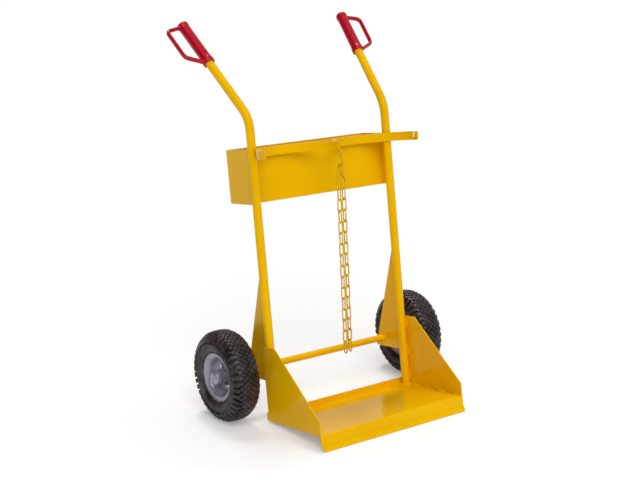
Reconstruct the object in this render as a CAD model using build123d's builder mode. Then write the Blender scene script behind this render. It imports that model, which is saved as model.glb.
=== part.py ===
from build123d import *
from math import acos, atan2, cos, degrees, hypot, radians, sin, sqrt
import os

# A two-cylinder hand truck. Its frame is drawn square to its uprights: X across, Y to the back,
# Z along the uprights, with z = 0 under the tray and y = 0 through the tubes. Standing on its
# wheels and on the tray's lip, the whole truck leans back, so everything but the hanging chains
# is drawn on planes of that leaning frame. Millimetres throughout.

# Sheet, plate and tube
SHEET = 3.0
BOX_SHEET = 2.0
TUBE_R = 12.5
TUBE_WALL = 2.0
TUBE_X = 236.0
TUBE_FACE = TUBE_X + TUBE_R

# Handles: the tubes bend back and a little outwards above the toolbox
BEND_Z = 854.0
BEND_RADIUS = 95.0
HANDLE_BACK = 41.1
HANDLE_OUT = 7.2
HANDLE_LENGTH = 362.0

# Red hand grips with a knuckle guard on the outer side
GRIP_LENGTH = 156.0
GRIP_CAP = 5.6
GRIP_R = 16.0
GRIP_ROUND = 5.0
GUARD_REACH = 62.0
GUARD_THICK = 8.0
GUARD_WIDTH = 13.0
GUARD_TOP_LEG = 10.0
GUARD_TOP_CORNER = 22.0
GUARD_LOW_CORNER = 121.0
GUARD_LOW_LEG = 150.0
GUARD_BEND = 9.0

# Tray: one folded sheet between the side plates
TRAY_FRONT = -238.3
TRAY_BACK = 20.0
TRAY_FLANGE = 22.0
LIP_CREASE_Z = -21.7
LIP_END_Y = -248.6
LIP_END_Z = -40.8
LIP_CORNER = 12.0
FOLD = 3.0

# Side plates on the outside of the tubes
PLATE_FRONT = -237.3
PLATE_BACK = 15.0
PLATE_KNEE_Z = 39.0
PLATE_TOP_Y = -46.5
PLATE_TOP_Z = 213.0

# Axle and the gussets that carry it behind the tubes
AXLE_R = 10.0
AXLE_Y = 92.6
AXLE_Z = 136.9
GUSSET = 5.0
GUSSET_TOP_Z = 425.0
GUSSET_BACK_Y = 127.7
GUSSET_LOW_Z = 110.9
WELD_GAP = 0.05
RUNNING = 0.05

# Saddle bar: two half rounds that meet in a nose, each with a notched wing for the chain
BAR_Z = 741.8
BAR_HEIGHT = 25.2
BAR = 5.0
SADDLE_R = 134.1
SADDLE_X = 131.0
SADDLE_Y = -106.0
NOSE_Y = -85.0
WING_Y = -110.0
NOTCH_Y = -93.5
NOTCH_WIDTH = 8.0
NOTCH_DEPTH = 18.0
NOTCH_SLANT = 12.0

# Toolbox: open on top, its ends welded to the backs of the tubes
BOX_LOW_Z = 612.6
BOX_TOP_Z = 765.5
BOX_FRONT_Y = 38.0
BOX_BACK_Y = 127.0
BOX_HALF = 240.0

# Chains: long link, hung on a ring under the nose of the saddle bar
WIRE_R = 2.0
LINK_PITCH = 31.7
LINK_LENGTH = 36.0
LINK_WIDTH = 12.0
STRETCH_ENDS = (1, 6, 12, 18)
RING_R = 9.0
RING_Y = -87.0
CHAIN_Y = 2.6
TOP_LINK_X = 1.5
TOP_LINK_SAG = 0.7
SPREAD_TILT = 8.0
SPREAD_LINKS = 2
HANG_FORWARD = 4.0

# Wheels: 260 x 85 pneumatic tyre on a two-piece pressed rim
WHEEL_X = 330.5
WHEEL_R = 130.0
TYRE_HALF = 42.5
BEAD_R = 56.0
RIM_SHEET = 2.0
RIM_HALF = 29.0
RIM_FLANGE_R = 68.0
DISC_S = 2.0
HUB_HALF = 37.0
HUB_R = 19.2
BEARING_OUTER_R = 17.5
BEARING_WIDTH = 12.0
CAP_R = 20.6
CAP_S = 45.5
BOLT_CIRCLE_R = 29.0
BOLT_R = 4.0
BOLT_FLATS = 13.0
BOLT_ANGLE = 30.0
WASHER_R = 16.0
WASHER = 1.5
AXLE_END_S = 42.6
PIN_S = 40.6
PIN_R = 1.0
PIN_HALF = 13.0
SPACER_R = 14.0
FREE_PLAY = 0.3
BEAD = 9.0
TUBE_SECTION_R = 30.0
TUBE_SECTION_AT = 88.0
TUBE_SKIN = 2.0
VALVE_ANGLE = -20.0
VALVE_BASE_R = 49.5
VALVE_R = 4.5
VALVE_LENGTH = 24.0
SIDES = ((-1, "left"), (1, "right"))

# The lean: the lip's lower edge and both tyres touch the floor together
lip_run = hypot(LIP_END_Y - TRAY_FRONT, LIP_END_Z - LIP_CREASE_Z)
toe_y = LIP_END_Y + SHEET * (LIP_CREASE_Z - LIP_END_Z) / lip_run
toe_z = LIP_END_Z - SHEET * (TRAY_FRONT - LIP_END_Y) / lip_run
reach = hypot(AXLE_Y - toe_y, AXLE_Z - toe_z)
LEAN = degrees(acos(WHEEL_R / reach) - atan2(AXLE_Y - toe_y, AXLE_Z - toe_z))
lean_sin, lean_cos = sin(radians(LEAN)), cos(radians(LEAN))

# The handles' direction, and the furthest point back, which is the rounded end of a grip
out_sin, out_cos = sin(radians(HANDLE_OUT)), cos(radians(HANDLE_OUT))
handle_y = out_cos * sin(radians(HANDLE_BACK))
handle_z = out_cos * cos(radians(HANDLE_BACK))
back_slope = handle_y * lean_cos + handle_z * lean_sin
grip_top = HANDLE_LENGTH + GRIP_CAP
round_y, round_z = (t * (grip_top - GRIP_ROUND) for t in (handle_y, handle_z))
furthest_back = (
    round_y * lean_cos
    + (BEND_Z + round_z) * lean_sin
    + (GRIP_R - GRIP_ROUND) * sqrt(1 - back_slope**2)
    + GRIP_ROUND
)
furthest_front = LIP_END_Y * lean_cos + LIP_END_Z * lean_sin

# The truck's own frame, leaned back and set so that the origin is on the floor under its middle
TRUCK = Plane(
    origin=(
        0,
        -(furthest_front + furthest_back) / 2,
        WHEEL_R + AXLE_Y * lean_sin - AXLE_Z * lean_cos,
    ),
    x_dir=(1, 0, 0),
    z_dir=(0, lean_sin, lean_cos),
)
UP = TRUCK.z_dir
BACK = TRUCK.y_dir
ACROSS = Vector(1, 0, 0)


def spot(x, y, z):
    """A point of the truck's own frame."""
    return TRUCK.from_local_coords(Vector(x, y, z))


def level(z):
    """The plane square to the uprights at height z."""
    return TRUCK.offset(z)


def side_plane(x):
    """The plane across X at x, whose sketches read (back, up)."""
    return Plane(origin=spot(x, 0, 0), x_dir=BACK, z_dir=ACROSS)


def front_plane(y):
    """The plane facing the front at depth y, whose sketches read (across, up)."""
    return Plane(origin=spot(0, y, 0), x_dir=ACROSS, z_dir=-BACK)


# The ring's middle, and the height of the middle of its wire where the chains hang on it
ring_centre = spot(0, RING_Y, BAR_Z - RING_R - WIRE_R / 2)
ring_low = ring_centre.Z - RING_R


def write(piece, node):
    """Label a finished piece and write its STEP file."""
    piece.part.label = node
    export_step(piece.part, f"parts/{node}.step")
    print(node)


# ---------------------------------------------------------------- uprights and grips
def handle_axis(side):
    """The handle's direction, and its spot where the straight runs would meet."""
    direction = ACROSS * (side * out_sin) + BACK * handle_y + UP * handle_z
    return spot(side * TUBE_X, 0, BEND_Z), direction


def make_upright(side, name):
    """Bent tube from the underside of the tray floor up to the handle's end."""
    corner, direction = handle_axis(side)
    with BuildPart() as upright:
        with BuildLine():
            run = FilletPolyline(
                spot(side * TUBE_X, 0, 0),
                corner,
                corner + direction * HANDLE_LENGTH,
                radius=BEND_RADIUS,
            )
        with BuildSketch(Plane(origin=run @ 0, z_dir=run % 0)):
            Circle(TUBE_R)
            Circle(TUBE_R - TUBE_WALL, mode=Mode.SUBTRACT)
        sweep(path=run)
    write(upright, f"{name}_upright")


def make_grip(side, name):
    """Moulded sleeve with a closed end, and a guard bar on its outer side."""
    corner, direction = handle_axis(side)
    end = corner + direction * grip_top
    outward = (ACROSS * side - direction * out_sin).normalized()
    sleeve = Plane(origin=end, x_dir=outward, z_dir=-direction)
    guard = Plane(origin=end, x_dir=outward, z_dir=outward.cross(-direction))
    with BuildPart() as grip:
        with BuildSketch(sleeve):
            Circle(GRIP_R)
        extrude(amount=GRIP_LENGTH)
        ends = edges().filter_by(GeomType.CIRCLE).sort_by(Axis(end, -direction))
        fillet(ends[0], GRIP_ROUND)
        with BuildLine(guard):
            loop = FilletPolyline(
                (TUBE_R + 1, GUARD_TOP_LEG),
                (GUARD_REACH, GUARD_TOP_CORNER),
                (GUARD_REACH, GUARD_LOW_CORNER),
                (TUBE_R + 1, GUARD_LOW_LEG),
                radius=GUARD_BEND,
            )
        with BuildSketch(Plane(origin=loop @ 0, x_dir=guard.z_dir, z_dir=loop % 0)):
            RectangleRounded(GUARD_WIDTH, GUARD_THICK, GUARD_THICK / 3)
        sweep(path=loop)
        with BuildSketch(sleeve.offset(GRIP_CAP)):
            Circle(TUBE_R)
        extrude(amount=GRIP_LENGTH, mode=Mode.SUBTRACT)
    write(grip, f"{name}_grip")


# ---------------------------------------------------------------- tray, plates and gussets
def make_tray():
    """Folded floor with a flange behind the tubes and a lip that reaches down to the ground."""
    half = TUBE_FACE + SHEET
    with BuildPart() as tray:
        with BuildSketch(side_plane(-half)):
            with BuildLine():
                FilletPolyline(
                    (TRAY_BACK, TRAY_FLANGE),
                    (TRAY_BACK, SHEET),
                    (TRAY_FRONT, SHEET),
                    (TRAY_FRONT, LIP_CREASE_Z),
                    (LIP_END_Y, LIP_END_Z),
                    radius=FOLD + WELD_GAP,
                )
                offset(amount=SHEET, side=Side.LEFT, kind=Kind.ARC)
            make_face()
        extrude(amount=2 * half)
        # the side plates stand in these two strips, and the feet of the tubes in these holes
        with BuildSketch(level(-WELD_GAP)):
            depth = PLATE_BACK - PLATE_FRONT
            for side in (-1, 1):
                with Locations((side * (TUBE_FACE + SHEET / 2), PLATE_FRONT + depth / 2)):
                    Rectangle(SHEET, depth)
                with Locations((side * TUBE_X, 0)):
                    Circle(TUBE_R + WELD_GAP)
        extrude(amount=2 * SHEET, mode=Mode.SUBTRACT)
        # the lip's lower corners are rounded off
        with BuildSketch(front_plane(TRAY_BACK + 2 * SHEET)):
            height = 2 * TRAY_FLANGE - LIP_END_Z + SHEET
            with Locations((0, 2 * TRAY_FLANGE - height / 2)):
                RectangleRounded(2 * half, height, LIP_CORNER)
        extrude(amount=TRAY_BACK - LIP_END_Y + 4 * SHEET, mode=Mode.INTERSECT)
    write(tray, "tray")


def make_side_plate(side, name):
    """Flat plate welded to the outside of the tube and to the edge of the tray."""
    with BuildPart() as plate:
        with BuildSketch(side_plane(side * TUBE_FACE)):
            with BuildLine():
                Polyline(
                    (PLATE_BACK, 0),
                    (PLATE_FRONT, 0),
                    (PLATE_FRONT, PLATE_KNEE_Z),
                    (PLATE_TOP_Y, PLATE_TOP_Z),
                    (PLATE_BACK, PLATE_TOP_Z),
                    close=True,
                )
            make_face()
        extrude(amount=side * SHEET)
    write(plate, f"{name}_side_plate")


def make_gusset(side, name):
    """Tall triangle behind the tube, bored for the axle."""
    with BuildPart() as gusset:
        with BuildSketch(side_plane(side * TUBE_X)):
            with BuildLine():
                Polyline(
                    (TUBE_R, GUSSET_TOP_Z),
                    (GUSSET_BACK_Y, GUSSET_LOW_Z),
                    (TUBE_R, GUSSET_LOW_Z),
                    close=True,
                )
            make_face()
            fillet(vertices().sort_by(Axis.X)[-1], GUSSET)
            with Locations((AXLE_Y, AXLE_Z)):
                Circle(AXLE_R + WELD_GAP, mode=Mode.SUBTRACT)
        extrude(amount=GUSSET / 2, both=True)
    write(gusset, f"{name}_axle_gusset")


# ---------------------------------------------------------------- saddle bar and toolbox
def make_saddle_bar():
    """Flat bar on edge, rolled into two half rounds that lie against the tubes and the box."""
    with BuildPart() as bar:
        with BuildSketch(level(BAR_Z)):
            with Locations((SADDLE_X, SADDLE_Y)):
                Circle(SADDLE_R + BAR / 2)
                Circle(SADDLE_R - BAR / 2, mode=Mode.SUBTRACT)
            wide = 2 * SADDLE_R
            with Locations((0, SADDLE_Y)):
                Rectangle(wide, wide * 2, align=(Align.MAX, Align.CENTER), mode=Mode.SUBTRACT)
            with Locations((0, NOSE_Y)):
                Rectangle(SADDLE_X, wide, align=(Align.MIN, Align.MAX), mode=Mode.SUBTRACT)
            with Locations((SADDLE_X, WING_Y)):
                Rectangle(wide, wide, align=(Align.MIN, Align.MAX), mode=Mode.SUBTRACT)
            mirror(about=Plane.YZ)
        extrude(amount=BAR_HEIGHT)
        # a slanting notch near the end of each wing takes a chain link
        top = BAR_Z + BAR_HEIGHT
        with BuildSketch(side_plane(0)):
            with Locations(Location((NOTCH_Y, top - NOTCH_DEPTH / 2, 0), (0, 0, NOTCH_SLANT))):
                with Locations((0, NOTCH_WIDTH / 2)):
                    SlotOverall(NOTCH_DEPTH + NOTCH_WIDTH, NOTCH_WIDTH, rotation=90)
            with Locations((WING_Y, BAR_Z)):
                Rectangle(NOTCH_WIDTH, NOTCH_WIDTH, rotation=45)
        extrude(amount=2 * SADDLE_X + BAR * 4, both=True, mode=Mode.SUBTRACT)
    write(bar, "saddle_bar")


def make_toolbox():
    """Front, floor and back folded from one sheet, and two end panels welded to the tubes."""
    with BuildPart() as shell:
        with BuildSketch(side_plane(-BOX_HALF)):
            with BuildLine():
                FilletPolyline(
                    (BOX_FRONT_Y, BOX_TOP_Z),
                    (BOX_FRONT_Y, BOX_LOW_Z),
                    (BOX_BACK_Y, BOX_LOW_Z),
                    (BOX_BACK_Y, BOX_TOP_Z),
                    radius=BOX_SHEET + 1,
                )
                offset(amount=BOX_SHEET, side=Side.LEFT, kind=Kind.ARC)
            make_face()
        extrude(amount=2 * BOX_HALF)
    write(shell, "toolbox_shell")
    reach_forward = sqrt(TUBE_R**2 - (BOX_HALF - TUBE_X) ** 2) + WELD_GAP
    for side, name in SIDES:
        with BuildPart() as panel:
            with BuildSketch(side_plane(side * BOX_HALF)):
                with Locations((reach_forward, BOX_LOW_Z)):
                    Rectangle(
                        BOX_BACK_Y - reach_forward,
                        BOX_TOP_Z - BOX_LOW_Z,
                        align=(Align.MIN, Align.MIN),
                    )
            extrude(amount=side * BOX_SHEET)
        write(panel, f"toolbox_{name}_end")


# ---------------------------------------------------------------- chains
def make_ring():
    """Welded ring under the nose of the saddle bar, in the fore-and-aft plane."""
    with BuildPart() as ring:
        with BuildSketch(Plane(origin=ring_centre, x_dir=(0, 1, 0), z_dir=(0, 0, 1))):
            with Locations((RING_R, 0)):
                Circle(WIRE_R)
        revolve(axis=Axis(ring_centre, ACROSS))
        split(bisect_by=level(BAR_Z), keep=Keep.BOTTOM)
    write(ring, "chain_ring")


def link_spots(side):
    """Where each link of a run hangs, with a quarter turn between one and the next."""
    arch = LINK_LENGTH / 2 - LINK_WIDTH / 2
    tilt = radians(SPREAD_TILT)
    x = side * (TOP_LINK_X + arch * sin(tilt))
    z = ring_low - TOP_LINK_SAG - arch * cos(tilt)
    y = ring_centre.Y + side * CHAIN_Y
    # below the top link the run swings forward about that link's lower wire
    wire = Vector(0, y, z - LINK_LENGTH / 2 * cos(tilt))
    swing = Location(wire) * Location((0, 0, 0), (-HANG_FORWARD, 0, 0)) * Location(-wire)
    spots = []
    for n in range(STRETCH_ENDS[-1]):
        lean_out = SPREAD_TILT if n < SPREAD_LINKS else 0.0
        turn = 90 * (n % 2)
        place = Location((x, y, z), (0, -side * lean_out, turn))
        spots.append(swing * place if n else place)
        next_out = SPREAD_TILT if n + 1 < SPREAD_LINKS else 0.0
        for angle in (lean_out, next_out):
            x += side * LINK_PITCH / 2 * sin(radians(angle))
            z -= LINK_PITCH / 2 * cos(radians(angle))
    return spots


def make_link():
    """One welded link of round wire, standing in the plane that faces the front."""
    straight = (LINK_LENGTH - LINK_WIDTH) / 2
    with BuildPart() as link:
        with BuildLine(Plane.XZ) as loop:
            left = Line((-LINK_WIDTH / 2, -straight), (-LINK_WIDTH / 2, straight))
            top = RadiusArc(left @ 1, (LINK_WIDTH / 2, straight), LINK_WIDTH / 2)
            right = Line(top @ 1, (LINK_WIDTH / 2, -straight))
            RadiusArc(right @ 1, left @ 0, LINK_WIDTH / 2)
        with BuildSketch(Plane(origin=left @ 0, z_dir=left % 0)):
            Circle(WIRE_R)
        sweep(path=loop.wire())
    return link


def make_chains(link):
    """The two links on the ring, and each run in three lengths that swing one on another."""
    runs = {name: link_spots(side) for side, name in SIDES}
    with BuildPart() as top_links:
        with Locations(*(spots[0] for spots in runs.values())):
            add(link.part)
    write(top_links, "chain_top_links")
    for name, spots in runs.items():
        stretches = zip(("upper", "middle", "lower"), STRETCH_ENDS, STRETCH_ENDS[1:])
        for stretch, first, last in stretches:
            with BuildPart() as chain:
                with Locations(*spots[first:last]):
                    add(link.part)
            write(chain, f"{name}_chain_{stretch}")


# ---------------------------------------------------------------- axle and wheels
def hub_point(side, out=0.0):
    """A point on the axle's line, counted outwards from the middle of a wheel."""
    return spot(side * (WHEEL_X + out), AXLE_Y, AXLE_Z)


def section(side):
    """The plane of a wheel's section, whose sketches read (outwards, radius)."""
    return Plane(origin=hub_point(side), x_dir=ACROSS * side, z_dir=BACK * -side)


def wheel_face(side, out):
    """The plane square to the axle, whose sketches read (forwards, and up or down)."""
    return Plane(origin=hub_point(side, out), x_dir=-BACK, z_dir=ACROSS * side)


def turned(side, node, *outlines):
    """A piece turned about the axle, from outlines of (outwards, radius) points."""
    with BuildPart() as piece:
        for outline in outlines:
            with BuildSketch(section(side)):
                with BuildLine():
                    Polyline(*outline, close=True)
                make_face()
            revolve(axis=Axis(hub_point(side), ACROSS))
    write(piece, node)


def sleeve(low, high, inner, outer):
    """The outline of a plain tube or washer."""
    return [(low, inner), (high, inner), (high, outer), (low, outer)]


def make_axle():
    """Round bar through both gussets, cross drilled at each end for a split pin."""
    end = WHEEL_X + AXLE_END_S
    with BuildPart() as axle:
        with BuildSketch(Plane(origin=spot(-end, AXLE_Y, AXLE_Z), z_dir=ACROSS)):
            Circle(AXLE_R)
        extrude(amount=2 * end)
        chamfer(edges().filter_by(GeomType.CIRCLE), PIN_R / 2)
        for side, name in SIDES:
            with BuildSketch(Plane(origin=hub_point(side, PIN_S), z_dir=UP)):
                Circle(PIN_R)
            extrude(amount=2 * AXLE_R, both=True, mode=Mode.SUBTRACT)
    write(axle, "axle")


def make_retainers(side, name):
    """What spaces a wheel off its gusset and keeps it on the axle."""
    bore = AXLE_R + WELD_GAP
    face = TUBE_X + GUSSET / 2 + WELD_GAP - WHEEL_X
    inner = -HUB_HALF - FREE_PLAY
    turned(side, f"{name}_axle_spacer", sleeve(face, inner - WASHER, bore, SPACER_R))
    turned(side, f"{name}_inner_washer", sleeve(inner - WASHER, inner, bore, WASHER_R))
    outer = HUB_HALF + FREE_PLAY
    turned(side, f"{name}_outer_washer", sleeve(outer, outer + WASHER, bore, WASHER_R))
    with BuildPart() as pin:
        with BuildSketch(Plane(origin=hub_point(side, PIN_S), z_dir=UP)):
            Circle(PIN_R)
        extrude(amount=PIN_HALF, both=True)
    write(pin, f"{name}_split_pin")


def make_tyre(side, wheel):
    """Carcass with rounded shoulders, open towards the rim, and the air tube inside it."""
    seat = RIM_HALF - RIM_SHEET - FREE_PLAY
    with BuildPart() as tyre:
        with BuildSketch(section(side)):
            with BuildLine():
                Line((0, WHEEL_R - BEAD), (0, WHEEL_R))
                ThreePointArc((0, WHEEL_R), (10.5, WHEEL_R - 0.4), (21, WHEEL_R - 1.6))
                ThreePointArc((21, WHEEL_R - 1.6), (31.5, 124), (37.5, 116))
                ThreePointArc((37.5, 116), (TYRE_HALF, 96), (31.5, 71.5))
                Polyline((31.5, 71.5), (seat, 64), (seat, BEAD_R), (seat - BEAD, BEAD_R))
                Polyline((seat - BEAD, BEAD_R), (seat - BEAD, 62), (25, 71))
                ThreePointArc((25, 71), (TYRE_HALF - BEAD / 2, 96), (31, 111))
                ThreePointArc((31, 111), (18, 118.5), (0, WHEEL_R - BEAD))
            make_face()
            mirror(about=Plane.YZ)
        revolve(axis=Axis(hub_point(side), ACROSS))
    write(tyre, f"{wheel}_tyre")
    with BuildPart() as tube:
        with BuildSketch(section(side)):
            with Locations((0, TUBE_SECTION_AT)):
                Circle(TUBE_SECTION_R)
                Circle(TUBE_SECTION_R - TUBE_SKIN, mode=Mode.SUBTRACT)
        revolve(axis=Axis(hub_point(side), ACROSS))
    write(tube, f"{wheel}_inner_tube")


def valve_axis(side):
    """The valve leaves the sloping part of the outer rim and leans in towards the hub."""
    angle = radians(VALVE_ANGLE)
    radial = -BACK * cos(angle) + UP * sin(angle)
    base = hub_point(side, DISC_S + 7) + radial * VALVE_BASE_R
    direction = (ACROSS * side * 0.8 - radial * 0.6).normalized()
    return Plane(origin=base, z_dir=direction)


def make_rims(side, wheel):
    """Two pressed dishes, back to back, drilled for the bolts and for the valve."""
    t = RIM_SHEET
    bore = HUB_R + WELD_GAP
    skin = [
        (DISC_S, bore),
        (DISC_S, 38),
        (DISC_S + 4, 44),
        (DISC_S + 9, 48.5),
        (RIM_HALF - 12, 51.5),
        (RIM_HALF - 5, BEAD_R - t - 1),
        (RIM_HALF - 1, BEAD_R - t + 2),
        (RIM_HALF + 0.5, RIM_FLANGE_R - 5),
        (RIM_HALF + 3, RIM_FLANGE_R),
    ]
    tyre_side = [
        (RIM_HALF + 2, RIM_FLANGE_R + 1.5),
        (RIM_HALF - t, RIM_FLANGE_R - 4),
        (RIM_HALF - t, BEAD_R),
        (RIM_HALF - 6, BEAD_R - 1),
        (RIM_HALF - 12, BEAD_R - 2.5),
        (DISC_S + 8, 50.5),
        (DISC_S + 2, 46),
        (DISC_S - t, 40),
        (DISC_S - t, bore),
    ]
    for what, front in (("outer_rim", 1), ("inner_rim", -1)):
        with BuildPart() as rim:
            with BuildSketch(section(side)):
                with BuildLine():
                    Polyline(*[(front * s, r) for s, r in skin + tyre_side], close=True)
                make_face()
            revolve(axis=Axis(hub_point(side), ACROSS))
            with BuildSketch(wheel_face(side, 0)):
                with PolarLocations(BOLT_CIRCLE_R, 4, start_angle=BOLT_ANGLE):
                    Circle(BOLT_R + WELD_GAP)
            extrude(amount=front * 2 * DISC_S, mode=Mode.SUBTRACT)
            if front > 0:
                with BuildSketch(valve_axis(side)):
                    Circle(VALVE_R)
                extrude(amount=VALVE_LENGTH / 2, both=True, mode=Mode.SUBTRACT)
        write(rim, f"{wheel}_{what}")


def make_fasteners(side, wheel):
    """Four hexagon bolts from the outside, and their nuts on the inner rim."""
    head = BOLT_R + 1.3
    with BuildPart() as bolts:
        with BuildSketch(wheel_face(side, DISC_S + WELD_GAP)):
            with PolarLocations(BOLT_CIRCLE_R, 4, start_angle=BOLT_ANGLE):
                RegularPolygon(BOLT_FLATS / 2, 6, major_radius=False)
        extrude(amount=head)
        with BuildSketch(wheel_face(side, DISC_S + WELD_GAP)):
            with PolarLocations(BOLT_CIRCLE_R, 4, start_angle=BOLT_ANGLE):
                Circle(BOLT_R)
        extrude(amount=-2 * DISC_S - head - BOLT_R)
    write(bolts, f"{wheel}_bolts")
    with BuildPart() as nuts:
        with BuildSketch(wheel_face(side, -DISC_S - WELD_GAP)):
            with PolarLocations(BOLT_CIRCLE_R, 4, start_angle=BOLT_ANGLE):
                RegularPolygon(BOLT_FLATS / 2, 6, major_radius=False)
                Circle(BOLT_R + WELD_GAP, mode=Mode.SUBTRACT)
        extrude(amount=-head)
    write(nuts, f"{wheel}_nuts")


def make_valve(side, wheel):
    """Rubber stem with a screw cap."""
    with BuildPart() as valve:
        with BuildSketch(valve_axis(side)):
            Circle(VALVE_R - WELD_GAP)
        extrude(amount=VALVE_LENGTH)
        with BuildSketch(valve_axis(side).offset(-VALVE_R)):
            Circle(VALVE_R - WELD_GAP)
        extrude(amount=VALVE_R)
    write(valve, f"{wheel}_valve")


def make_wheel(side, name):
    """A wheel and everything that turns with it."""
    wheel = f"{name}_wheel"
    make_tyre(side, wheel)
    make_rims(side, wheel)
    make_fasteners(side, wheel)
    make_valve(side, wheel)
    inside = HUB_HALF - BEARING_WIDTH
    turned(
        side,
        f"{wheel}_hub",
        sleeve(-HUB_HALF, HUB_HALF, BEARING_OUTER_R, HUB_R),
        sleeve(-inside, inside, BEARING_OUTER_R - 2, HUB_R),
    )
    bore = AXLE_R + RUNNING
    turned(side, f"{wheel}_inner_bearing", sleeve(-HUB_HALF, -inside, bore, BEARING_OUTER_R))
    turned(side, f"{wheel}_outer_bearing", sleeve(inside, HUB_HALF, bore, BEARING_OUTER_R))
    cap = [
        (HUB_HALF - 7, CAP_R),
        (CAP_S - 4.5, CAP_R),
        (CAP_S - 1.5, CAP_R - 3.5),
        (CAP_S, CAP_R - 10),
        (CAP_S, 0),
        (CAP_S - 1.5, 0),
        (CAP_S - 1.5, CAP_R - 11),
        (CAP_S - 2.8, CAP_R - 4.7),
        (CAP_S - 5.4, HUB_R + WELD_GAP),
        (HUB_HALF - 7, HUB_R + WELD_GAP),
    ]
    turned(side, f"{wheel}_hub_cap", cap)


for side, name in SIDES:
    make_upright(side, name)
    make_grip(side, name)
    make_side_plate(side, name)
    make_gusset(side, name)
make_tray()
make_saddle_bar()
make_toolbox()
make_ring()
make_chains(make_link())
make_axle()
for side, name in SIDES:
    make_retainers(side, name)
    make_wheel(side, name)
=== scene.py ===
from math import atan2, cos, radians, sin, tau

import bpy
from mathutils import Matrix, Vector


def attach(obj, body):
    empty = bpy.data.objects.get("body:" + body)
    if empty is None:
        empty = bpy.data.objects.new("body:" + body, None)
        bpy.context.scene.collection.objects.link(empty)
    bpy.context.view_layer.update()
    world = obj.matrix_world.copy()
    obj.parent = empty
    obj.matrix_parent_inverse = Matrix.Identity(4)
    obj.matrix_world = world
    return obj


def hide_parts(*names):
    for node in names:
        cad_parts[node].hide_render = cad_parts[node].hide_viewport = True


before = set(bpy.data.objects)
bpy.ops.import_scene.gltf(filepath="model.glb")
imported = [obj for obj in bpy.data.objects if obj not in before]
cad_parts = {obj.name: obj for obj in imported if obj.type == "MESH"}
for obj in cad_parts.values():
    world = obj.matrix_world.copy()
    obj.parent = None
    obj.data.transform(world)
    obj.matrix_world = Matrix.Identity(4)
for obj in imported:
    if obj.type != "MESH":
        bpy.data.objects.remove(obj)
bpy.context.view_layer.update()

# ------------------------------------------------------------------ studio
# A pale floor under a white sky that is dark to the left behind the truck, one
# broad soft light in front of the truck and another over it from behind. The
# floor glows a little to the eye, so that it shows only a faint shadow.
mm = 0.001
floor_size = 60.0
floor_white = "#f0f0f0"
floor_glow = 1.7
floor_glow_share = 0.15
sky_light = 0.48
dark_way = Vector((-0.78, 0.62, 0.05))
dark_from, dark_to, dark_light = 0.1, 0.75, 0.06
# each light's strength, and its spread, turn and height in degrees
lights = {
    "broad_soft_key": (1.45, 44.0, -30.0, 46.0),
    "soft_top_light": (1.1, 14.0, 160.0, 68.0),
}


def linear(hexed):
    """An sRGB colour such as "#f0f0f0" as the linear colour that shaders take."""
    parts = [int(hexed[i : i + 2], 16) / 255 for i in (1, 3, 5)]
    bent = [p / 12.92 if p <= 0.04045 else ((p + 0.055) / 1.055) ** 2.4 for p in parts]
    return (*bent, 1.0)


def node(tree, kind, links=None, **settings):
    """Add a node. Settings are properties or inputs, and links go from input to output."""
    made = tree.nodes.new("ShaderNode" + kind)
    for name, value in settings.items():
        if hasattr(made, name):
            setattr(made, name, value)
        else:
            made.inputs[name.replace("_", " ")].default_value = value
    for name, output in (links or {}).items():
        tree.links.new(output, made.inputs[name])
    return made


def new_material(name):
    """A material with an empty tree, and that tree."""
    made = bpy.data.materials.new(name)
    made.use_nodes = True
    made.node_tree.nodes.clear()
    return made, made.node_tree


def deselect():
    """Nothing selected, and out of any edit mode."""
    if bpy.context.object and bpy.context.object.mode != "OBJECT":
        bpy.ops.object.mode_set(mode="OBJECT")
    bpy.ops.object.select_all(action="DESELECT")


def added(name):
    """Name the primitive that was just added, and its mesh."""
    piece = bpy.context.object
    piece.name = name
    piece.data.name = name
    return piece


paper, tree = new_material("white_paper_sweep")
seen = node(tree, "LightPath")
matt = node(tree, "BsdfDiffuse", Color=linear(floor_white))
glow = node(tree, "Emission", Strength=floor_glow)
share = node(tree, "Math", {0: seen.outputs["Is Camera Ray"]}, operation="MULTIPLY")
share.inputs[1].default_value = floor_glow_share
both = node(tree, "MixShader", {0: share.outputs[0], 1: matt.outputs[0], 2: glow.outputs[0]})
node(tree, "OutputMaterial", {"Surface": both.outputs[0]})
deselect()
bpy.ops.mesh.primitive_plane_add(size=floor_size)
floor = added("studio_floor")
floor.data.materials.append(paper)

sky = bpy.data.worlds.new("white_surround")
sky.use_nodes = True
bpy.context.scene.world = sky
tree = sky.node_tree
tree.nodes.clear()
seen = node(tree, "LightPath")
way = node(tree, "TexCoord")
aim = node(tree, "VectorMath", {0: way.outputs["Generated"]}, operation="DOT_PRODUCT")
aim.inputs[1].default_value = dark_way
fade = node(
    tree,
    "MapRange",
    {"Value": aim.outputs["Value"]},
    From_Min=dark_from,
    From_Max=dark_to,
    To_Min=sky_light,
    To_Max=dark_light,
)
lit = node(tree, "Background", {"Strength": fade.outputs["Result"]})
plain = node(tree, "Background", Strength=1.0)
lit.inputs["Color"].default_value = plain.inputs["Color"].default_value = (1, 1, 1, 1)
eye = seen.outputs["Is Camera Ray"]
both = node(tree, "MixShader", {0: eye, 1: lit.outputs[0], 2: plain.outputs[0]})
node(tree, "OutputWorld", {"Surface": both.outputs[0]})

for name, (strength, spread, turn, height) in lights.items():
    sun = bpy.data.lights.new(name, "SUN")
    sun.energy = strength
    sun.angle = radians(spread)
    light = bpy.data.objects.new(name, sun)
    light.rotation_euler = (radians(90 - height), 0, radians(turn))
    bpy.context.collection.objects.link(light)

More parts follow.
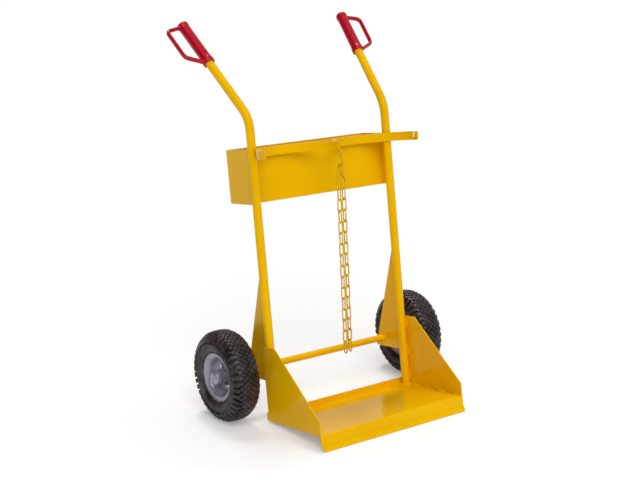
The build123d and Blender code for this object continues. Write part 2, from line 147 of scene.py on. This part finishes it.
# The camera stands at chest height in front of the tray and to its left, and
# looks slightly down through a longish lens.
camera_place = Vector((-2.1644, -2.9789, 1.4223))
camera_turn = -35.957
camera_down = 13.046
camera_roll = -0.152
lens_mm = 74.05
camera_shift = (-0.0109, -0.0467)
camera_data = bpy.data.cameras.new("camera")
camera_data.lens = lens_mm
camera_data.sensor_width = 36.0
camera_data.shift_x, camera_data.shift_y = camera_shift
camera = bpy.data.objects.new("camera", camera_data)
camera.matrix_world = (
    Matrix.Translation(camera_place)
    @ Matrix.Rotation(radians(camera_turn), 4, "Z")
    @ Matrix.Rotation(radians(90 - camera_down), 4, "X")
    @ Matrix.Rotation(radians(camera_roll), 4, "Z")
)
bpy.context.collection.objects.link(camera)
bpy.context.scene.camera = camera
bpy.context.scene.view_settings.view_transform = "Standard"

# ------------------------------------------------------------------ painted frame
# Tube, plate and folded sheet, welded together and powder coated in one go. The
# thick glossy yellow coat flows a little before it sets, so it shows the fine
# ripple called orange peel.
yellow = "#f2bb04"
yellow_deep = "#ecb402"
yellow_sheen = "#ffc81e"
cloud_mm = 120.0
peel_mm = 2.2
relief_mm = 0.3


def finish(name, tones, fade, patch, grain=None, **surface):
    """A finish that drifts between two tones in patches, with a fine grain if it has one.

    fade is where in the noise the first tone ends and the second begins. patch is the
    size of the patches in mm and their detail, and grain is the same and its strength.
    """
    made, tree = new_material(name)
    place = node(tree, "TexCoord").outputs["Object"]
    size, detail = patch
    cloud = node(tree, "TexNoise", {"Vector": place}, Scale=1 / (size * mm), Detail=detail)
    tint = node(tree, "ValToRGB", {"Fac": cloud.outputs["Fac"]})
    for stop, at, tone in zip(tint.color_ramp.elements, fade, tones):
        stop.position = at
        stop.color = linear(tone)
    links = {"Base Color": tint.outputs["Color"]}
    if grain:
        size, detail, strength = grain
        fine = node(tree, "TexNoise", {"Vector": place}, Scale=1 / (size * mm), Detail=detail)
        relief = node(
            tree,
            "Bump",
            {"Height": fine.outputs["Fac"]},
            Strength=strength,
            Distance=relief_mm * mm,
        )
        links["Normal"] = relief.outputs["Normal"]
    skin = node(tree, "BsdfPrincipled", links, **surface)
    node(tree, "OutputMaterial", {"Surface": skin.outputs[0]})
    return made


powder_coat = finish(
    "yellow_powder_coat",
    (yellow_deep, yellow),
    (0.35, 0.65),
    (cloud_mm, 2.0),
    (peel_mm, 1.0, 0.06),
    Roughness=0.13,
    IOR=1.36,
    Specular_Tint=linear(yellow_sheen),
)


def paint(material, *names):
    """Give CAD nodes a better material."""
    for name in names:
        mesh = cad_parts[name].data
        mesh.materials.clear()
        mesh.materials.append(material)


paint(powder_coat, "tray", "saddle_bar", "toolbox_shell", "axle")
for hand in ("left", "right"):
    paint(
        powder_coat,
        f"{hand}_upright",
        f"{hand}_side_plate",
        f"{hand}_axle_gusset",
        f"{hand}_axle_spacer",
        f"toolbox_{hand}_end",
    )

# ------------------------------------------------------------------ weld beads
# Every joint of the frame is a hand-laid weld: a row of overlapping drops of
# steel, under the same paint. They run round the tubes' feet and the axle, and
# in stitches along the seams of the plates.
lean = radians(8.041727)
truck = Matrix.Translation((0, -75.98 * mm, 7.4 * mm)) @ Matrix.Rotation(-lean, 4, "X")
tube_x = 236.0
plate_x = 248.5
axle_y, axle_z = 92.6, 136.9
drop_mm = 2.8
foot_drop_mm = 4.0
drop_step_mm = 2.9
drop_swing = 0.16
melt_mm = 0.7
floor_top = 3.0
floor_seam_z = floor_top + 0.6
foot_weld_r = 13.6
axle_weld_r = 10.9
tube_front_y, tube_back_y = -7.6, 12.4
# where the stitches start along each seam, and how long they are
floor_stitches, floor_stitch = (-225, -160, -95, -40), 24
plate_stitches, plate_stitch = (20, 95, 175), 28
gusset_stitches, gusset_stitch = (135, 250, 375), 32
bar_weld_z = 767
box_weld_x, box_weld_from, box_weld_to = 243, 640, 680


def drops(name, points, size=drop_mm):
    """One weld: drops of steel at points of the truck's own frame, in mm, melted together."""
    parts = []
    for index, point in enumerate(points):
        deselect()
        bpy.ops.mesh.primitive_ico_sphere_add(
            subdivisions=2,
            radius=size * mm * (1 + drop_swing * sin(index * 2.4)),
            location=truck @ (Vector(point) * mm),
        )
        parts.append(bpy.context.object)
    for part in parts:
        part.select_set(True)
    bpy.context.view_layer.objects.active = parts[0]
    bpy.ops.object.join()
    bpy.ops.object.transform_apply(location=True, rotation=True, scale=True)
    weld = added(name)
    melt = weld.modifiers.new("melt", "REMESH")
    melt.mode = "VOXEL"
    melt.voxel_size = melt_mm * mm
    bpy.ops.object.modifier_apply(modifier=melt.name)
    bpy.ops.object.shade_smooth()
    weld.data.materials.clear()
    weld.data.materials.append(powder_coat)
    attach(weld, "frame")


def row(start, end):
    """Evenly spaced points from start to end."""
    start, end = Vector(start), Vector(end)
    count = max(2, round((end - start).length / drop_step_mm))
    return [start.lerp(end, i / (count - 1)) for i in range(count)]


def ring(centre, radius, along):
    """Evenly spaced points round a tube or a bar that runs along X or Z."""
    count = round(tau * radius / drop_step_mm)
    points = []
    for i in range(count):
        a, b = radius * cos(tau * i / count), radius * sin(tau * i / count)
        spot = (0, a, b) if along == "X" else (a, b, 0)
        points.append(Vector(centre) + Vector(spot))
    return points


for hand, side in (("left", -1), ("right", 1)):
    foot = (side * tube_x, 0, floor_seam_z)
    drops(f"{hand}_foot_weld", ring(foot, foot_weld_r, "Z"), foot_drop_mm)
    hole = (side * (tube_x - 3), axle_y, axle_z)
    drops(f"{hand}_axle_weld", ring(hole, axle_weld_r, "X"))
    x = side * (plate_x - 0.6)
    for index, y in enumerate(floor_stitches):
        stitch = row((x, y, floor_seam_z), (x, y + floor_stitch, floor_seam_z))
        drops(f"{hand}_floor_weld_{index + 1}", stitch, foot_drop_mm)
    x = side * (plate_x - 2)
    for index, z in enumerate(plate_stitches):
        stitch = row((x, tube_front_y, z), (x, tube_front_y, z + plate_stitch))
        drops(f"{hand}_plate_weld_{index + 1}", stitch)
    x = side * (tube_x + 3)
    for index, z in enumerate(gusset_stitches):
        stitch = row((x, tube_back_y, z), (x, tube_back_y, z + gusset_stitch))
        drops(f"{hand}_gusset_weld_{index + 1}", stitch)
    stitch = row((side * (tube_x - 11), -10.5, bar_weld_z), (x, -13.5, bar_weld_z))
    drops(f"{hand}_bar_weld", stitch)
    x = side * box_weld_x
    stitch = row((x, tube_back_y, box_weld_from), (x, tube_back_y, box_weld_to))
    drops(f"{hand}_box_weld", stitch)

# ------------------------------------------------------------------ grips
# Soft red vinyl, dip moulded in one piece with a guard bar for the knuckles and
# pushed on to the tube's end. The sleeve swells at its cap and ends in a ribbed
# collar, into which the lower leg of the guard runs.
grip_red = "#bd0524"
grip_dark = "#a8031c"
bend_z = 854.0
handle_back, handle_out = radians(41.1), radians(7.2)
handle_mm = 367.6
guard_half = 4.9
guard_wide = 7.2
blotch_mm = 9.0
vinyl_grain_mm = 1.4
dip_mm = 0.9
dip_rounds = 6

vinyl = finish(
    "red_vinyl",
    (grip_dark, grip_red),
    (0.4, 0.62),
    (blotch_mm, 4.0),
    (vinyl_grain_mm, 2.0, 0.2),
    Roughness=0.24,
    IOR=1.4,
)


def turned(name, outline, steps):
    """A piece turned about X, from a closed outline of (along, radius) points in mm."""
    deselect()
    bpy.ops.mesh.primitive_plane_add(size=mm)
    piece = added(name)
    bpy.ops.object.mode_set(mode="EDIT")
    bpy.ops.mesh.merge(type="CENTER")
    bpy.ops.transform.translate(value=(outline[0][0] * mm, 0, outline[0][1] * mm))
    for before, after in zip(outline, outline[1:]):
        step = ((after[0] - before[0]) * mm, 0, (after[1] - before[1]) * mm)
        bpy.ops.mesh.extrude_region_move(TRANSFORM_OT_translate={"value": step})
    bpy.ops.mesh.select_all(action="SELECT")
    bpy.ops.mesh.spin(steps=steps, angle=tau, center=(0, 0, 0), axis=(1, 0, 0))
    bpy.ops.mesh.select_all(action="SELECT")
    bpy.ops.mesh.remove_doubles(threshold=0.01 * mm)
    bpy.ops.mesh.normals_make_consistent(inside=False)
    bpy.ops.object.mode_set(mode="OBJECT")
    bpy.ops.object.shade_smooth_by_angle(angle=radians(38))
    return piece


def placed(piece, matrix):
    """Move a piece into the truck and leave its own place at the origin."""
    deselect()
    piece.select_set(True)
    bpy.context.view_layer.objects.active = piece
    piece.matrix_world = matrix
    bpy.ops.object.transform_apply(location=True, rotation=True, scale=True)


grip_outline = [
    (0, 0), (0, 8), (0.5, 12), (2.0, 15), (4.5, 16.6), (8, 17.2), (12, 17.0), (16, 16.2),
    (22, 15.8), (60, 15.6), (110, 15.8), (132, 16.0), (139, 16.6), (143, 17.6), (147, 18.0),
    (150, 17.9), (151.5, 17.1), (153, 17.1), (154.5, 17.8), (156, 17.6), (157, 16.2),
    (157, 12.6), (6, 12.6), (6, 0),
]
guard_path = [
    (14, 12), (46, 15), (55, 17), (61, 24), (61.5, 34), (61.5, 108), (60, 117), (54, 124),
    (22, 144), (13, 149),
]


def make_grip(hand, side):
    """The sleeve and its guard, melted into one skin, at the end of one handle."""
    sleeve = turned(f"{hand}_hand_grip", grip_outline, 64)
    for start, end in zip(guard_path, guard_path[1:]):
        a, b = Vector((start[1], 0, start[0])) * mm, Vector((end[1], 0, end[0])) * mm
        deselect()
        bpy.ops.mesh.primitive_uv_sphere_add(segments=20, ring_count=12, radius=guard_half * mm)
        corner = bpy.context.object
        corner.scale = (1, guard_wide / guard_half, 1)
        corner.location = b
        deselect()
        bpy.ops.mesh.primitive_cylinder_add(
            vertices=24, radius=guard_half * mm, depth=(b - a).length
        )
        rod = bpy.context.object
        rod.scale = (1, guard_wide / guard_half, 1)
        rod.rotation_euler = (0, atan2(b.x - a.x, b.z - a.z), 0)
        rod.location = (a + b) / 2
        for part in (corner, rod, sleeve):
            part.select_set(True)
        bpy.context.view_layer.objects.active = sleeve
        bpy.ops.object.join()
    melt = sleeve.modifiers.new("melt", "REMESH")
    melt.mode = "VOXEL"
    melt.voxel_size = dip_mm * mm
    bpy.ops.object.modifier_apply(modifier=melt.name)
    relax = sleeve.modifiers.new("relax", "SMOOTH")
    relax.factor = 0.5
    relax.iterations = dip_rounds
    bpy.ops.object.modifier_apply(modifier=relax.name)
    bpy.ops.object.shade_smooth()
    sleeve.data.materials.clear()
    sleeve.data.materials.append(vinyl)
    return sleeve


for hand, side in (("left", -1), ("right", 1)):
    way = truck.to_3x3() @ Vector(
        (
            side * sin(handle_out),
            cos(handle_out) * sin(handle_back),
            cos(handle_out) * cos(handle_back),
        )
    )
    end = truck @ (Vector((side * tube_x, 0, bend_z)) * mm) + way * handle_mm * mm
    outward = (Vector((side, 0, 0)) - way * sin(handle_out)).normalized()
    across = outward.cross(-way)
    # the sleeve is turned about its own X, which runs down the handle, and its Z faces outwards
    stance = Matrix((-way, -across, outward)).transposed().to_4x4()
    grip = make_grip(hand, side)
    placed(grip, Matrix.Translation(end) @ stance)
    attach(grip, "frame")
    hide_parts(f"{hand}_grip")

# ------------------------------------------------------------------ chains
# Two runs of welded long-link chain on a ring, dipped in the same yellow. The
# coat is thinner than on the frame and dulled by handling, in small patches.
chain_yellow = "#ecbc10"
chain_dull = "#cfa20a"
rub_mm = 14.0

coated = finish(
    "yellow_coated_chain",
    (chain_dull, chain_yellow),
    (0.38, 0.6),
    (rub_mm, 3.0),
    Roughness=0.3,
    Specular_Tint=linear(yellow_sheen),
)
paint(coated, "chain_ring", "chain_top_links")
for hand in ("left", "right"):
    paint(coated, *(f"{hand}_chain_{part}" for part in ("upper", "middle", "lower")))

# ------------------------------------------------------------------ tyres
# Black pneumatic tyres, moulded with thin ribs round the sidewall, rows of
# diamond blocks across the crown, and square lugs over each shoulder. The rubber
# is satin, a little porous, and greyed in patches where it is dusty.
tyre_black = "#1b1315"
tyre_dusty = "#463a3c"
lug_count = 39
block_count = 50
block_row = 8.8
block_half_round = 6.5
block_half_across = 7.3
block_deep = 7.0
block_foot, block_top = 1.12, 0.98
block_edge_mm = 0.6
dust_mm = 22.0
pore_mm = 1.2
wheel_x = 330.5
hub = truck @ (Vector((wheel_x, axle_y, axle_z)) * mm)

rubber = finish(
    "tread_rubber",
    (tyre_black, tyre_dusty),
    (0.4, 0.7),
    (dust_mm, 5.0),
    (pore_mm, 2.0, 0.3),
    Roughness=0.4,
)

half_outline = [
    (0, 126.4), (10, 126.0), (18, 124.4), (25, 119.6), (30, 114), (34.5, 108), (38.2, 102),
    (40.6, 97.6), (41.6, 95.4), (42.5, 95.0), (42.5, 93.8), (41.6, 93.2), (41.2, 90.8),
    (42.0, 90.2), (41.9, 89.0), (40.9, 88.4), (40.2, 86.0), (40.9, 85.4), (40.7, 84.2),
    (39.5, 83.6), (37, 78), (34.4, 74.2), (32.4, 72.2), (30.4, 70.6), (28.2, 67.6),
    (26.7, 64), (26.7, 56.4), (17.7, 56.4), (17.7, 62), (25, 71), (34, 82), (37, 96),
    (31, 104), (18, 114.5), (0, 119),
]
whole_outline = half_outline + [(-s, r) for s, r in reversed(half_outline)]
tyre = turned("right_tyre", whole_outline, 152)


def block(half_across, half_round, out, height, tilt, quarter):
    """One tapered block of tread, its top at the given place on the crown of the wheel.

    quarter is 0 for a diamond, and 1 turns it by an eighth to stand square.
    """
    deselect()
    bpy.ops.mesh.primitive_cone_add(
        vertices=4, radius1=block_foot * mm, radius2=block_top * mm, depth=block_deep * mm
    )
    made = bpy.context.object
    made.data.transform(Matrix.Rotation(quarter * tau / 8, 4, "Z"))
    made.data.transform(Matrix.Diagonal((half_across, half_round, 1, 1)))
    made.data.transform(
        Matrix.Translation(Vector((out, 0, height)) * mm)
        @ Matrix.Rotation(radians(tilt), 4, "Y")
        @ Matrix.Translation((0, 0, -block_deep / 2 * mm))
    )
    return made


def tread(name, blocks, count, phases):
    """Join the blocks of one pitch, each at its phase, and repeat them round the wheel."""
    for made, phase in zip(blocks, phases):
        made.data.transform(Matrix.Rotation(phase * tau / count, 4, "X"))
    deselect()
    for made in blocks:
        made.select_set(True)
    bpy.context.view_layer.objects.active = blocks[0]
    bpy.ops.object.join()
    band = added(name)
    soften = band.modifiers.new("soften", "BEVEL")
    soften.width = block_edge_mm * mm
    soften.segments = 2
    pivot = bpy.data.objects.new("pivot", None)
    pivot.rotation_euler = (tau / count, 0, 0)
    bpy.context.collection.objects.link(pivot)
    bpy.context.view_layer.update()
    around = band.modifiers.new("around", "ARRAY")
    around.count = count
    around.use_relative_offset = False
    around.use_object_offset = True
    around.offset_object = pivot
    for modifier in (soften.name, around.name):
        bpy.ops.object.modifier_apply(modifier=modifier)
    bpy.data.objects.remove(pivot)
    bpy.ops.object.shade_smooth_by_angle(angle=radians(38))
    return band


crown, crown_phases = [block(block_half_across, block_half_round, 0, 130, 0, 0)], [0]
for step, height, tilt in ((1, 129.7, 3.5), (2, 128.7, 9), (3, 124.2, 25)):
    for side in (-1, 1):
        out = side * step * block_row
        crown.append(block(block_half_across, block_half_round, out, height, side * tilt, 0))
        crown_phases.append(step % 2 / 2)
shoulder, shoulder_phases = [], []
for side in (-1, 1):
    shoulder.append(block(6.4, 8.0, side * 34.6, 119.4, side * 44, 1))
    shoulder.append(block(9.0, 8.0, side * 40.6, 109.4, side * 62, 1))
    shoulder_phases += [0, 0]
bands = [
    tread("crown_tread", crown, block_count, crown_phases),
    tread("shoulder_tread", shoulder, lug_count, shoulder_phases),
]
deselect()
for band in bands:
    band.select_set(True)
tyre.select_set(True)
bpy.context.view_layer.objects.active = tyre
bpy.ops.object.join()
tyre.data.materials.clear()
tyre.data.materials.append(rubber)


def twin(piece, name):
    """A copy with its own mesh, for the other wheel."""
    copy = piece.copy()
    copy.data = piece.data.copy()
    copy.name = copy.data.name = name
    bpy.context.collection.objects.link(copy)
    return copy


def on_wheels(piece, kind, slot, *nodes):
    """Put a piece turned about X on the right wheel, and a twin, facing out, on the left."""
    other = twin(piece, f"left_{kind}")
    placed(piece, Matrix.Translation(hub))
    placed(other, Matrix.Translation((-hub.x, hub.y, hub.z)) @ Matrix.Rotation(tau / 2, 4, "Z"))
    for hand, made in (("right", piece), ("left", other)):
        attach(made, f"{hand}_wheel")
        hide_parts(*(f"{hand}_wheel_{node}" for node in nodes))


on_wheels(tyre, "tyre", "tyre_rubber", "tyre")

# ------------------------------------------------------------------ rims
# Two dishes of pressed sheet, bolted back to back. Each has a rolled flange, a
# seat for the tyre and a flat middle. The sprayed silver-grey lacquer holds fine
# metal flake, so it shines softly like dull metal.
rim_grey = "#a39ca8"
rim_dark = "#938c98"
spray_mm = 30.0

lacquer = finish(
    "silver_grey_lacquer",
    (rim_dark, rim_grey),
    (0.4, 0.6),
    (spray_mm, 2.0),
    Roughness=0.26,
    Metallic=0.4,
)

rim_outline = [
    (2, 19.6), (2, 36), (2.6, 39.5), (4.4, 42.6), (7.5, 45.6), (11, 48.2), (16, 50.8),
    (20.5, 52.6), (24.5, 54.2), (27.4, 56.8), (28.7, 60), (29.3, 63.4), (30.2, 66.4),
    (31.6, 68.2), (32.4, 68.6), (32.6, 69.4), (31.4, 69.8), (29.6, 68.8), (27.6, 66),
    (27, 63), (27, 57.6), (25.8, 56), (23, 55), (17, 53.2), (10.4, 50.4), (6, 47.4),
    (2.6, 44.4), (0.6, 41), (0.1, 38), (0.1, 19.6), (2, 19.6),
]
rims = {}
for part, facing in (("outer", 1), ("inner", -1)):
    outline = [(facing * along, radius) for along, radius in rim_outline]
    rims[part] = turned(f"right_{part}_dish", outline, 128)
    rims[part].data.materials.clear()
    rims[part].data.materials.append(lacquer)
for part, rim in rims.items():
    on_wheels(rim, f"{part}_dish", "rim_paint", f"{part}_rim")

# ------------------------------------------------------------------ hub caps
# A pressed cap over the end of the hub, domed a little, with a rolled edge. It
# hides the washer and the split pin.
cap_outline = [
    (45.5, 0), (45.4, 6), (45.0, 10), (44.2, 13.4), (42.8, 16.6), (40.6, 19), (38, 20.2),
    (35, 20.6), (31.4, 20.7), (30.2, 21.4), (29.4, 21.3), (29.2, 20.4), (29.2, 19.3),
    (38, 19.3), (41, 17.6), (43, 13), (43.9, 8), (44, 0),
]
cap = turned("right_cap", cap_outline, 72)
cap.data.materials.clear()
cap.data.materials.append(lacquer)
on_wheels(cap, "cap", "rim_paint", "hub_cap")
for hand in ("left", "right"):
    paint(lacquer, f"{hand}_wheel_hub")

# ------------------------------------------------------------------ bolts and fittings
# Zinc-plated bolts and nuts, washers and split pins, and ground bearing rings:
# bright metal, clouded in small patches. The valve and the air tube are plain
# moulded black rubber.
zinc_dull = "#a3a5a9"
zinc_bright = "#c9cbce"
zinc_cloud_mm = 6.0
rubber_black = "#1f1c1d"

zinc = finish(
    "zinc_plate",
    (zinc_dull, zinc_bright),
    (0.0, 1.0),
    (zinc_cloud_mm, 3.0),
    Metallic=1.0,
    Roughness=0.28,
)
black_rubber, tree = new_material("black_rubber")
skin = node(tree, "BsdfPrincipled", Base_Color=linear(rubber_black), Roughness=0.45)
node(tree, "OutputMaterial", {"Surface": skin.outputs[0]})
for hand in ("left", "right"):
    paint(zinc, f"{hand}_inner_washer", f"{hand}_outer_washer", f"{hand}_split_pin")
    for part in ("bolts", "nuts", "inner_bearing", "outer_bearing"):
        paint(zinc, f"{hand}_wheel_{part}")
    paint(black_rubber, f"{hand}_wheel_valve", f"{hand}_wheel_inner_tube")
